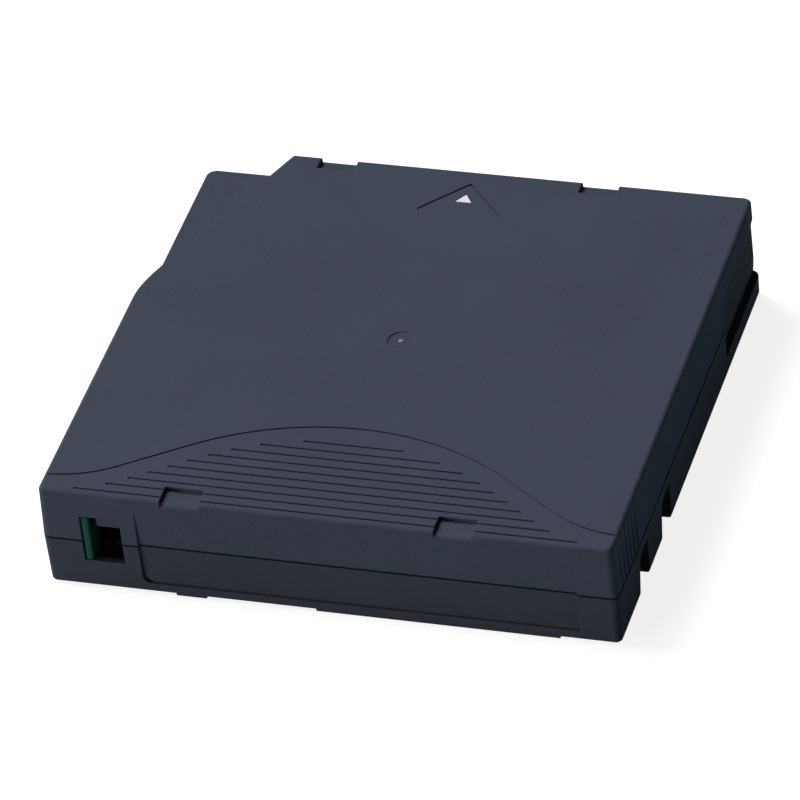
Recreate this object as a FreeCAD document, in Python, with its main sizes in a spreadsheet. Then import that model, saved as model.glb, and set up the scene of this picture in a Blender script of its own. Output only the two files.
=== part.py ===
"""Half-inch data tape cartridge, one reel, as an assembly of separate pieces.

Frame: millimetres, +Z up, origin at the middle of the bottom. +Y is the end that enters the drive,
-Y is the end with the label recess and the write-protect window, +X is the side with the door.
"""
import FreeCAD, Part
import math
import os
import re
import Sketcher

Vector = FreeCAD.Vector
Rotation = FreeCAD.Rotation
Placement = FreeCAD.Placement

# ---------------------------------------------------------------- driving dimensions (mm, degrees)
SIZES = [
    # case
    ("case_length", 105.4), ("case_width", 102.0), ("case_height", 21.5), ("foot_height", 0.4),
    ("parting_height", 10.75), ("upper_draft", 0.35), ("lower_draft", 0.25), ("rear_corner", 1.5),
    ("front_corner", 2.0), ("top_edge_radius", 0.8), ("bottom_edge_radius", 0.6),
    ("seam_width", 0.22), ("seam_depth", 0.45),
    ("top_thickness", 2.0), ("floor_thickness", 1.8), ("side_wall", 1.6), ("end_wall", 1.4),
    ("running_gap", 0.3),
    # how far cuts reach past a face, and how far pads sink into what carries them
    ("cut_past", 1.0), ("sink", 0.1), ("root_sink", 0.05), ("foot_sink", 0.2),
    # insertion guide: the front left corner is lower, cut by a slanted wall outside the reel
    ("ledge_height", 15.7), ("ledge_roof", 1.8), ("guide_distance", 51.4), ("guide_angle", 22.1),
    ("guide_blend", 40.0), ("guide_wall", 1.6),
    # stacking notches in the top and the feet that sit in them
    ("stack_pitch", 50.0), ("stack_middle", -1.25), ("notch_width", 7.1), ("notch_depth", 0.9),
    ("front_notch_reach", 3.8), ("rear_notch_reach", 4.5), ("foot_width", 5.6), ("foot_reach", 3.0),
    ("foot_inset", 0.5), ("bar_start", -3.2), ("bar_end", 41.3),
    # grooves of the grip area
    ("wave_end", 4.7), ("wave_crest", 25.6), ("wave_angle", 35.0), ("wave_end_radius", 22.0),
    ("wave_groove", 0.38), ("groove_depth", 0.22), ("rib_count", 10), ("rib_pitch", 2.12),
    ("rib_start", 1.5), ("rib_groove", 0.5), ("rib_margin", 4.1), ("side_rib_count", 6),
    ("side_rib_groove", 0.7), ("side_rib_depth", 0.35),
    # arrow, chevron and moulding mark on the top
    ("chevron_apex", 46.9), ("chevron_half", 7.85), ("chevron_rise", 8.6), ("chevron_groove", 0.4),
    ("chevron_depth", 0.4), ("arrow_apex", 43.6), ("arrow_half", 1.6), ("arrow_rise", 2.45),
    ("mark_depth", 0.15), ("gate_radius", 2.5),
    # label recess in the rear face
    ("label_left", -34.8), ("label_right", 45.3), ("label_bottom", 2.4), ("label_top", 19.3),
    ("label_depth", 0.75), ("label_corner", 1.6),
    # write-protect window and slider
    ("window_left", -45.2), ("window_width", 7.5), ("window_bottom", 6.35), ("window_top", 16.15),
    ("lintel_start", -42.6), ("lintel_bottom", 13.3), ("lintel_thickness", 1.0),
    ("slider_length", 7.2), ("slider_depth", 3.6), ("slider_bottom", 5.8), ("slider_top", 13.0),
    ("slider_left", -50.8), ("ridge_width", 1.4), ("ridge_inset", 0.2),
    ("slot_gap", 0.1), ("guide_rib", 1.0), ("guide_past", 1.5), ("guide_overlap", 1.0),
    ("ridge_sink", 0.6), ("ridge_gap", 0.2), ("finger_gap", 0.6), ("finger_wall", 0.9),
    # handling notches in both sides of the lower case
    ("grip_notch_a", -37.7), ("grip_notch_b", -22.5), ("grip_notch_length", 6.6),
    ("grip_notch_height", 8.5), ("grip_notch_depth", 2.0), ("grip_notch_wall", 1.2),
    ("grip_notch_lean", 2.0), ("grip_notch_corner", 2.2),
    # drive opening, locating holes
    ("opening_radius", 17.3), ("rim_width", 1.2), ("rim_height", 0.7),
    ("locate_x", -43.0), ("locate_y", 33.5), ("locate_radius", 1.6), ("locate_depth", 4.0),
    ("locate_wall", 1.2), ("slot_x", 43.4), ("slot_y", 30.5), ("slot_half", 0.6),
    # screws
    ("boss_radius", 3.0), ("front_boss_radius", 2.4), ("upper_boss_radius", 2.4),
    ("screw_radius", 0.95), ("screw_clearance", 0.25), ("thread_fit", 0.03), ("screw_head_radius", 2.0),
    ("head_height", 1.4), ("head_seat", 3.6), ("screw_end", 14.2), ("pilot_end", 14.6),
    ("rear_screw_x", 43.5), ("rear_screw_y", -36.5), ("left_screw_x", -45.0), ("left_screw_y", 43.5),
    ("right_screw_x", 34.0), ("right_screw_y", 46.8), ("recess_arm", 2.2), ("recess_width", 0.5),
    ("recess_depth", 0.8), ("head_sink", 0.2),
    # door and its spring
    ("door_start", 25.2), ("door_top", 17.0), ("door_sill", 4.5), ("door_thickness", 1.3),
    ("door_top_gap", 0.7), ("door_skin", 0.7), ("door_travel", 24.0), ("door_corner_x", 48.0),
    ("door_inset", 0.2), ("hook_thickness", 1.2), ("lead_start", 43.0), ("lead_in", 0.5),
    ("bevel_top", 8.6), ("bevel_depth", 0.5), ("lug_width", 1.1), ("lug_length", 4.0),
    ("lug_first", 27.0), ("lug_second", 43.5), ("lug_reach", 0.7), ("track_rib", 0.5),
    ("track_height", 1.0),
    ("pusher_height", 4.2), ("pusher_length", 2.0), ("pusher_sink", 0.5), ("end_gap", 0.6),
    ("rod_radius", 0.9), ("rod_length", 13.0),
    ("spring_axis_x", 49.2), ("spring_axis_z", 10.6), ("door_spring_radius", 1.55),
    ("door_wire", 0.22), ("door_spring_turns", 9), ("stop_y", -14.0), ("stop_thickness", 1.2),
    ("stop_reach", 3.5),
    # reel
    ("flange_radius", 48.5), ("hub_radius", 22.0), ("hub_inner", 19.5), ("reel_bottom", 3.2),
    ("flange_thickness", 1.4), ("upper_flange_thickness", 1.2), ("tape_gap", 12.95),
    ("tape_width", 12.65), ("pack_radius", 46.5), ("hub_floor", 2.0), ("flange_rim", 0.5),
    ("ring_thickness", 1.2), ("ring_bottom", 7.0), ("ring_top", 16.0),
    ("gear_outer", 16.6), ("gear_inner", 11.6), ("gear_root", 1.9), ("gear_tip", 0.9),
    ("gear_teeth", 48), ("gear_tooth_outer", 16.2), ("gear_tooth_inner", 12.1),
    ("gear_tooth_base", 1.3),
    ("gear_tooth_top", 0.5),
    ("plate_outer", 11.3), ("plate_inner", 4.2), ("plate_thickness", 1.1),
    # release pad
    ("pad_radius", 9.5), ("pad_thickness", 1.5), ("arm_half", 4.0), ("leg_inner", 12.9),
    ("leg_outer", 15.3), ("leg_half", 2.4), ("leg_bottom", 1.3),
    # brake
    ("post_inner", 13.2), ("post_outer", 17.6), ("post_half_angle", 14.0), ("post_top", 8.6),
    ("brake_teeth", 36), ("tooth_height", 1.0), ("tooth_base", 1.0), ("tooth_top", 0.5),
    ("tooth_step", 0.1), ("post_cut_margin", 0.6),
    ("mesh_gap", 0.3), ("brake_radius", 17.6), ("brake_tooth_inner", 13.0), ("brake_thickness", 2.0),
    ("nose_radius", 4.0), ("nose_cap", 0.3), ("nose_rise", 1.2), ("collar_radius", 6.5),
    ("collar_top", 17.3), ("key_width", 1.6),
    ("key_length", 9.0), ("key_bottom", 14.3), ("collar_floor", 12.1), ("seat_inner", 9.6),
    ("seat_wall", 0.8), ("seat_height", 1.0), ("brake_spring_radius", 8.4), ("brake_wire", 0.4),
    ("brake_spring_turns", 3.5), ("spring_gap", 0.05), ("coil_steps", 12), ("wire_sides", 6),
    # leader pin, its clip, pockets and leaf spring
    ("pin_x", 45.0), ("pin_y", 42.0), ("pin_half", 8.35), ("pin_disc_radius", 2.3),
    ("pin_disc", 0.85), ("pin_neck_radius", 1.2), ("pin_neck", 0.5), ("pin_flange_radius", 2.1),
    ("pin_flange", 0.4), ("pin_shaft_radius", 1.25), ("leader_thickness", 0.12),
    ("tape_lead", 1.0), ("clip_thickness", 0.45), ("clip_length", 10.5), ("clip_mouth", 15.0),
    ("pocket_wall", 1.1),
    ("pocket_height", 1.1), ("leaf_thickness", 0.3), ("leaf_width", 4.0), ("leaf_grip", 0.35),
    # cartridge memory
    ("board_length", 20.0), ("board_width", 9.5), ("board_thickness", 0.8), ("board_x", 39.0),
    ("board_y", -45.7), ("board_z", 6.1), ("chip_side", 4.0), ("chip_thickness", 0.7),
    ("board_rib", 1.2), ("board_rib_inset", 1.5),
]

doc = FreeCAD.newDocument("tape_cartridge")
sheet = doc.addObject("Spreadsheet::Sheet", "sizes")
for row, (alias, number) in enumerate(SIZES, start=1):
    sheet.set("A%d" % row, alias)
    sheet.set("B%d" % row, str(number))
    sheet.setAlias("B%d" % row, alias)
doc.recompute()
ALIASES = {alias for alias, number in SIZES}
NEAR = 0.01


def bound(text):
    """Return an expression whose words are cells of the sheet."""
    return re.sub(r"[a-z]\w*", lambda m: "sizes." + m.group(0) if m.group(0) in ALIASES else m.group(0),
                  str(text))


def value(text):
    """Return the number that an expression gives now."""
    return float(sheet.evalExpression(bound(text)))


# ---------------------------------------------------------------- short calls for bodies and sketches
def new_body(label):
    body = doc.addObject("PartDesign::Body", label)
    body.Label = label
    return body


def new_sketch(body, plane, offset="0"):
    """Add a sketch on one of the body's own planes, raised along that plane's normal."""
    sketch = body.newObject("Sketcher::SketchObject", body.Name + "_sketch")
    origin_plane = [o for o in body.Origin.OriginFeatures if o.Role == plane][0]
    sketch.AttachmentSupport = [(origin_plane, "")]
    sketch.MapMode = "FlatFace"
    sketch.setExpression("AttachmentOffset.Base.z", bound(offset))
    return sketch


def pin_point(sketch, geometry, end, x, y):
    """Hold one end of a line, or a circle's centre, at a place that the sheet gives."""
    for kind, text in (("DistanceX", x), ("DistanceY", y)):
        index = sketch.addConstraint(Sketcher.Constraint(kind, -1, 1, geometry, end, value(text)))
        sketch.setExpression("Constraints[%d]" % index, bound(text))


def polygon(sketch, corners):
    """Draw a closed outline of straight lines through corners given as (x, y) expressions."""
    places = [Vector(value(x), value(y), 0) for x, y in corners]
    lines = [sketch.addGeometry(Part.LineSegment(places[i - 1], places[i]), False)
             for i in range(len(places))]
    for i, line in enumerate(lines):
        following = lines[(i + 1) % len(lines)]
        sketch.addConstraint(Sketcher.Constraint("Coincident", line, 2, following, 1))
        pin_point(sketch, line, 2, corners[i][0], corners[i][1])


def rectangle(sketch, x0, x1, y0, y1):
    polygon(sketch, [(x0, y0), (x1, y0), (x1, y1), (x0, y1)])


def circle(sketch, x, y, radius):
    shape = Part.Circle(Vector(value(x), value(y), 0), Vector(0, 0, 1), value(radius))
    geometry = sketch.addGeometry(shape, False)
    pin_point(sketch, geometry, 3, x, y)
    index = sketch.addConstraint(Sketcher.Constraint("Radius", geometry, value(radius)))
    sketch.setExpression("Constraints[%d]" % index, bound(radius))


def outline(sketch, edges):
    """Draw a closed outline of lines and arcs worked out from the sheet's values."""
    indexes = [sketch.addGeometry(edge, False) for edge in edges]
    for i, index in enumerate(indexes):
        following = indexes[(i + 1) % len(indexes)]
        meeting = [(mine, other) for mine in (1, 2) for other in (1, 2)
                   if sketch.getPoint(index, mine).distanceToPoint(sketch.getPoint(following, other)) < 1e-5]
        mine, other = meeting[0]
        sketch.addConstraint(Sketcher.Constraint("Coincident", index, mine, following, other))


def feature(body, kind, sketch, length=None, flip=False):
    made = body.newObject("PartDesign::" + kind, body.Name + "_" + kind.lower())
    made.Profile = sketch
    if length is not None:
        made.setExpression("Length", bound(length))
    made.Reversed = flip
    sketch.Visibility = False
    body.Tip = made
    return made


def add_block(body, x0, x1, y0, y1, z0, z1):
    """Pad a rectangle from z0 up to z1."""
    sketch = new_sketch(body, "XY_Plane", z0)
    rectangle(sketch, x0, x1, y0, y1)
    return feature(body, "Pad", sketch, "(%s) - (%s)" % (z1, z0))


def cut_block(body, x0, x1, y0, y1, z0, z1):
    """Pocket a rectangle from z1 down to z0."""
    sketch = new_sketch(body, "XY_Plane", z1)
    rectangle(sketch, x0, x1, y0, y1)
    return feature(body, "Pocket", sketch, "(%s) - (%s)" % (z1, z0))


def add_post(body, x, y, radius, z0, z1):
    sketch = new_sketch(body, "XY_Plane", z0)
    circle(sketch, x, y, radius)
    return feature(body, "Pad", sketch, "(%s) - (%s)" % (z1, z0))


def cut_hole(body, x, y, radius, z0, z1):
    sketch = new_sketch(body, "XY_Plane", z1)
    circle(sketch, x, y, radius)
    return feature(body, "Pocket", sketch, "(%s) - (%s)" % (z1, z0))


def revolve(body, corners, cut=False):
    """Turn a profile of (radius, height) corners round the body's Z axis."""
    sketch = new_sketch(body, "XZ_Plane")
    polygon(sketch, corners)
    made = feature(body, "Groove" if cut else "Revolution", sketch)
    made.ReferenceAxis = (sketch, ["V_Axis"])
    made.Angle = 360
    return made


def repeat_round(body, original, count):
    """Repeat the last feature evenly round the body's Z axis."""
    pattern = body.newObject("PartDesign::PolarPattern", body.Name + "_ring")
    pattern.Originals = [original]
    axis = [o for o in body.Origin.OriginFeatures if o.Role == "Z_Axis"][0]
    pattern.Axis = (axis, [""])
    pattern.Angle = 360
    pattern.setExpression("Occurrences", bound(count))
    body.Tip = pattern
    return pattern


def repeat_along(body, original, role, count, pitch):
    pattern = body.newObject("PartDesign::LinearPattern", body.Name + "_row")
    pattern.Originals = [original]
    axis = [o for o in body.Origin.OriginFeatures if o.Role == role][0]
    pattern.Direction = (axis, [""])
    pattern.setExpression("Length", bound("(%s - 1) * %s" % (count, pitch)))
    pattern.setExpression("Occurrences", bound(count))
    body.Tip = pattern
    return pattern


def dress(body, kind, base, names, size):
    """Fillet or chamfer the named edges or faces of the base feature."""
    made = body.newObject("PartDesign::" + kind, body.Name + "_" + kind.lower())
    made.Base = (base, names)
    made.setExpression("Radius" if kind == "Fillet" else "Size", bound(size))
    body.Tip = made
    return made


def edges_where(base, test):
    """Name the edges whose middle passes the test."""
    doc.recompute()
    names = []
    for number, edge in enumerate(base.Shape.Edges, start=1):
        middle = edge.valueAt((edge.FirstParameter + edge.LastParameter) / 2)
        if test(edge, middle):
            names.append("Edge%d" % number)
    return names


def upright(edge):
    """Tell whether an edge rises more than it runs."""
    box = edge.BoundBox
    return box.ZLength > 3 * max(box.XLength, box.YLength)


# ---------------------------------------------------------------- levels and lines used by many pieces
HALF_LENGTH = "case_length/2"
HALF_WIDTH = "case_width/2"
INNER_X = "(case_length/2 - side_wall)"
INNER_Y = "(case_width/2 - end_wall)"
FLOOR = "(foot_height + floor_thickness)"
CEILING = "(case_height - top_thickness)"
LEDGE_CEILING = "(ledge_height - ledge_roof)"
DOOR_SLOT_X = "(case_length/2 - door_skin)"
DOOR_OUT = "(case_length/2 - door_skin - running_gap)"
DOOR_IN = "(case_length/2 - door_skin - running_gap - door_thickness)"
DOOR_LUG = "(case_length/2 - door_skin - running_gap - door_thickness - lug_reach)"
MIDDLE = "((foot_height + floor_thickness + case_height - top_thickness)/2)"
SLIDER_REAR = "(end_wall + slot_gap + slider_depth + running_gap - case_width/2)"
SLIDER_END = "(window_left + window_width + guide_past)"


def guide_line(distance, blend, reach):
    """Edges of everything in front of the slanted guide wall, which lies at a distance from the reel's axis.

    The wall turns into the left side with a large arc.
    """
    angle = math.radians(value("guide_angle"))
    away = Vector(-math.cos(angle), math.sin(angle), 0)
    along = Vector(math.sin(angle), math.cos(angle), 0)
    side = -value(HALF_LENGTH)
    foot = away * distance
    corner = foot + along * ((side - foot.x) / along.x)
    front = foot + along * ((reach - foot.y) / along.y)
    tangent = blend * math.tan(angle / 2)
    arc_start = Vector(side, corner.y - tangent, 0)
    arc_end = corner + along * tangent
    centre = arc_start + Vector(blend, 0, 0)
    half = Vector(-math.cos(angle / 2), math.sin(angle / 2), 0)
    outside = [Vector(-reach, reach, 0), Vector(-reach, arc_start.y, 0)]
    return [
        Part.Arc(arc_start, centre + half * blend, arc_end),
        Part.LineSegment(arc_end, front),
        Part.LineSegment(front, outside[0]),
        Part.LineSegment(outside[0], outside[1]),
        Part.LineSegment(outside[1], arc_start),
    ]


def wave_parts(offset):
    """Radii, tangent points and levels of the wave line, moved towards the rear by an offset."""
    angle = math.radians(value("wave_angle"))
    half, end_radius = value(HALF_LENGTH), value("wave_end_radius")
    rise = value("wave_crest - wave_end")
    flat = 1 - math.cos(angle)
    crest_radius = (rise - end_radius * flat - (half - end_radius * math.sin(angle)) * math.tan(angle)) \
        / (flat - math.sin(angle) * math.tan(angle))
    crest_centre = value("wave_crest - " + HALF_WIDTH) - crest_radius
    end_centre = value("wave_end - " + HALF_WIDTH) + end_radius
    return angle, half, end_radius + offset, end_centre, crest_radius - offset, crest_centre


def wave_line(offset):
    """Lines and arcs of the wave from the left side to the right side."""
    angle, half, end_radius, end_centre, crest_radius, crest_centre = wave_parts(offset)

    def end_point(turn):
        return Vector(-half + end_radius * math.sin(turn), end_centre - end_radius * math.cos(turn), 0)

    def crest_point(turn):
        return Vector(crest_radius * math.sin(turn), crest_centre + crest_radius * math.cos(turn), 0)

    def mirrored(point):
        return Vector(-point.x, point.y, 0)

    left, middle, inner = end_point(0), end_point(angle / 2), end_point(angle)
    crest_left = crest_point(-angle)
    return [
        Part.Arc(left, middle, inner),
        Part.LineSegment(inner, crest_left),
        Part.Arc(crest_left, crest_point(0), mirrored(crest_left)),
        Part.LineSegment(mirrored(crest_left), mirrored(inner)),
        Part.Arc(mirrored(inner), mirrored(middle), mirrored(left)),
    ]


def rib_half_length(level):
    """Half length of a grip groove at a level, which ends a margin inside the wave."""
    angle, half, end_radius, end_centre, crest_radius, crest_centre = wave_parts(value("rib_margin"))
    crest_end = crest_centre + crest_radius * math.cos(angle)
    if level > crest_end:
        return math.sqrt(crest_radius ** 2 - (level - crest_centre) ** 2)
    arc_end = end_centre - end_radius * math.cos(angle)
    if level > arc_end:
        return crest_radius * math.sin(angle) + (crest_end - level) / math.tan(angle)
    return half - math.sqrt(end_radius ** 2 - (level - end_centre) ** 2)


# ---------------------------------------------------------------- case shells
def shell_block(body, height, flip, draft):
    """Pad the case's rounded outline away from the seam and give its walls draft."""
    sketch = new_sketch(body, "XY_Plane", "parting_height")
    outline(sketch, rounded_outline(0))
    pad = feature(body, "Pad", sketch, height, flip)
    doc.recompute()
    walls = []
    for number, face in enumerate(pad.Shape.Faces, start=1):
        if face.BoundBox.ZLength > 1:
            walls.append("Face%d" % number)
        elif abs(face.BoundBox.ZMin - value("parting_height")) < 0.001:
            seam = "Face%d" % number
    drafted = body.newObject("PartDesign::Draft", body.Name + "_draft")
    drafted.Base = (pad, walls)
    drafted.NeutralPlane = (pad, [seam])
    drafted.Reversed = flip
    drafted.setExpression("Angle", bound("atan(%s/(%s))" % (draft, height)))
    body.Tip = drafted
    return drafted


def rounded_outline(inset):
    """Edges of the case's plan at the seam, moved inwards, with its four rounded corners."""
    half_x, half_y = value(HALF_LENGTH) - inset, value(HALF_WIDTH) - inset
    edges = []
    for side_x, side_y in ((1, 1), (-1, 1), (-1, -1), (1, -1)):
        radius = value("front_corner" if side_y > 0 else "rear_corner") - inset
        centre = Vector(side_x * (half_x - radius), side_y * (half_y - radius), 0)
        on_side = centre + Vector(side_x * radius, 0, 0)
        on_end = centre + Vector(0, side_y * radius, 0)
        middle = centre + Vector(side_x, side_y, 0) * (radius / math.sqrt(2))
        ends = (on_side, on_end) if side_x == side_y else (on_end, on_side)
        edges.append(Part.Arc(ends[0], middle, ends[1]))
    lines = [Part.LineSegment(edges[i - 1].EndPoint, edges[i].StartPoint) for i in range(4)]
    return [edge for pair in zip(lines, edges) for edge in pair]


def cut_seam(body, level):
    """Cut a fine step round the outside at the seam, so that the two shells meet in a thin groove."""
    sketch = new_sketch(body, "XY_Plane", level)
    far_x, far_y = "(%s + cut_past)" % HALF_LENGTH, "(%s + cut_past)" % HALF_WIDTH
    rectangle(sketch, "-" + far_x, far_x, "-" + far_y, far_y)
    outline(sketch, rounded_outline(value("seam_depth")))
    return feature(body, "Pocket", sketch, "seam_width")


def cut_label_recess(body):
    """Cut the label's place into the rear face, with a leaning floor that meets the face at its top."""
    fade = "(label_depth - upper_draft*(label_top - parting_height)/(case_height - parting_height))"
    lean = math.degrees(math.atan(value(fade + "/(label_top - label_bottom)")))
    sketch = new_sketch(body, "XZ_Plane")
    sketch.AttachmentOffset = Placement(Vector(0, 0, 0), Rotation(Vector(1, 0, 0), lean))
    sketch.setExpression("AttachmentOffset.Base.y", bound("label_bottom"))
    sketch.setExpression("AttachmentOffset.Base.z", bound(HALF_WIDTH + " - label_depth"))
    left, right = value("label_left"), value("label_right")
    top, radius = value("label_top - label_bottom"), value("label_corner")
    corner = Vector(left + radius, radius, 0)
    bend = corner - Vector(1, 1, 0) * (radius / math.sqrt(2))
    arc = Part.Arc(Vector(left, radius, 0), bend, Vector(left + radius, 0, 0))
    outline(sketch, [
        arc,
        Part.LineSegment(Vector(left + radius, 0, 0), Vector(right, 0, 0)),
        Part.LineSegment(Vector(right, 0, 0), Vector(right, top, 0)),
        Part.LineSegment(Vector(right, top, 0), Vector(left, top, 0)),
        Part.LineSegment(Vector(left, top, 0), Vector(left, radius, 0)),
    ])
    return feature(body, "Pocket", sketch, "label_depth + cut_past", True)


def cut_recess_seam(body, bottom):
    """Carry the groove of the seam across the floor of the label recess."""
    floor = "label_depth + seam_depth/2 - " + HALF_WIDTH
    return cut_block(body, "label_left", "label_right", "-%s - cut_past" % HALF_WIDTH, floor,
                     bottom, bottom + " + seam_width")


def cut_window(body, bottom, top):
    sketch = new_sketch(body, "XZ_Plane", HALF_WIDTH)
    rectangle(sketch, "window_left", "window_left + window_width", bottom, top)
    return feature(body, "Pocket", sketch, "end_wall + sink")


def cut_stacking_notches(body, middle):
    """Cut one notch at the front and one at the rear of the roof, each rounded where it leaves the case."""
    sketch = new_sketch(body, "YZ_Plane", middle + " + notch_width/2")
    radius = value("top_edge_radius")
    floor = value("case_height - notch_depth")
    low = floor - radius
    wall = value(HALF_WIDTH) \
        - value("upper_draft/(case_height - parting_height)") * (low - value("parting_height"))
    above = value("case_height + cut_past")
    beyond = value(HALF_WIDTH + " + cut_past")
    for side, reach in ((1, value("front_notch_reach")), (-1, value("rear_notch_reach"))):
        inner = Vector(side * (value(HALF_WIDTH) - reach), floor, 0)
        round_start = Vector(side * (wall - radius), floor, 0)
        round_end = Vector(side * wall, low, 0)
        bend = Vector(round_start.x, low, 0) + Vector(side, 1, 0) * (radius / math.sqrt(2))
        corners = [
            round_end,
            Vector(side * beyond, low, 0),
            Vector(side * beyond, above, 0),
            Vector(inner.x, above, 0),
            inner,
            round_start,
        ]
        lines = [Part.LineSegment(corners[i], corners[i + 1]) for i in range(len(corners) - 1)]
        outline(sketch, lines + [Part.Arc(round_start, bend, round_end)])
    return feature(body, "Pocket", sketch, "notch_width")


SCREWS = [
    ("rear_screw_x", "rear_screw_y", "boss_radius"),
    ("-rear_screw_x", "rear_screw_y", "boss_radius"),
    ("left_screw_x", "left_screw_y", "boss_radius"),
    ("right_screw_x", "right_screw_y", "front_boss_radius"),
]


def place_bosses(body, upper):
    """Add the four screw bosses of one shell with their holes."""
    for x, y, radius in SCREWS:
        if upper:
            roof = LEDGE_CEILING if x == "left_screw_x" else CEILING
            add_post(body, x, y, "upper_boss_radius", "parting_height", roof)
            cut_hole(body, x, y, "screw_radius + thread_fit", "parting_height", "pilot_end")
        else:
            add_post(body, x, y, radius, FLOOR, "parting_height")
            cut_hole(body, x, y, "screw_head_radius + running_gap", "0", "head_seat")
            cut_hole(body, x, y, "screw_radius + screw_clearance", "head_seat", "parting_height")


def pin_pocket(body, z0, z1, open_from):
    """Add the low wall that holds one end of the leader pin, open towards the door."""
    reach = "(pin_disc_radius + running_gap)"
    add_block(body, "pin_x - %s - pocket_wall" % reach, "pin_x + %s" % reach,
              "pin_y - %s - pocket_wall" % reach, "pin_y + %s + pocket_wall" % reach, z0, z1)
    cut_hole(body, "pin_x", "pin_y", reach, open_from[0], open_from[1])
    cut_block(body, "pin_x", "pin_x + %s + cut_past" % reach, "pin_y - " + reach, "pin_y + " + reach,
              open_from[0], open_from[1])


def door_track(body, z0, z1):
    """Add the low rib that keeps the door's lugs beside the wall."""
    inside = "(%s - running_gap)" % DOOR_LUG
    add_block(body, inside + " - track_rib", inside, "door_start - door_travel", INNER_Y + " - end_gap",
              z0, z1)


def door_opening(body, z0, z1):
    """Cut the tape opening at the front right corner and the slot in the wall that the door slides into."""
    cut_block(body, "door_corner_x", HALF_LENGTH + " + cut_past", "door_start",
              HALF_WIDTH + " + cut_past", z0, z1)
    cut_block(body, INNER_X + " - sink", DOOR_SLOT_X, "door_start - door_travel - end_gap",
              "door_start + sink", z0, z1)


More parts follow.
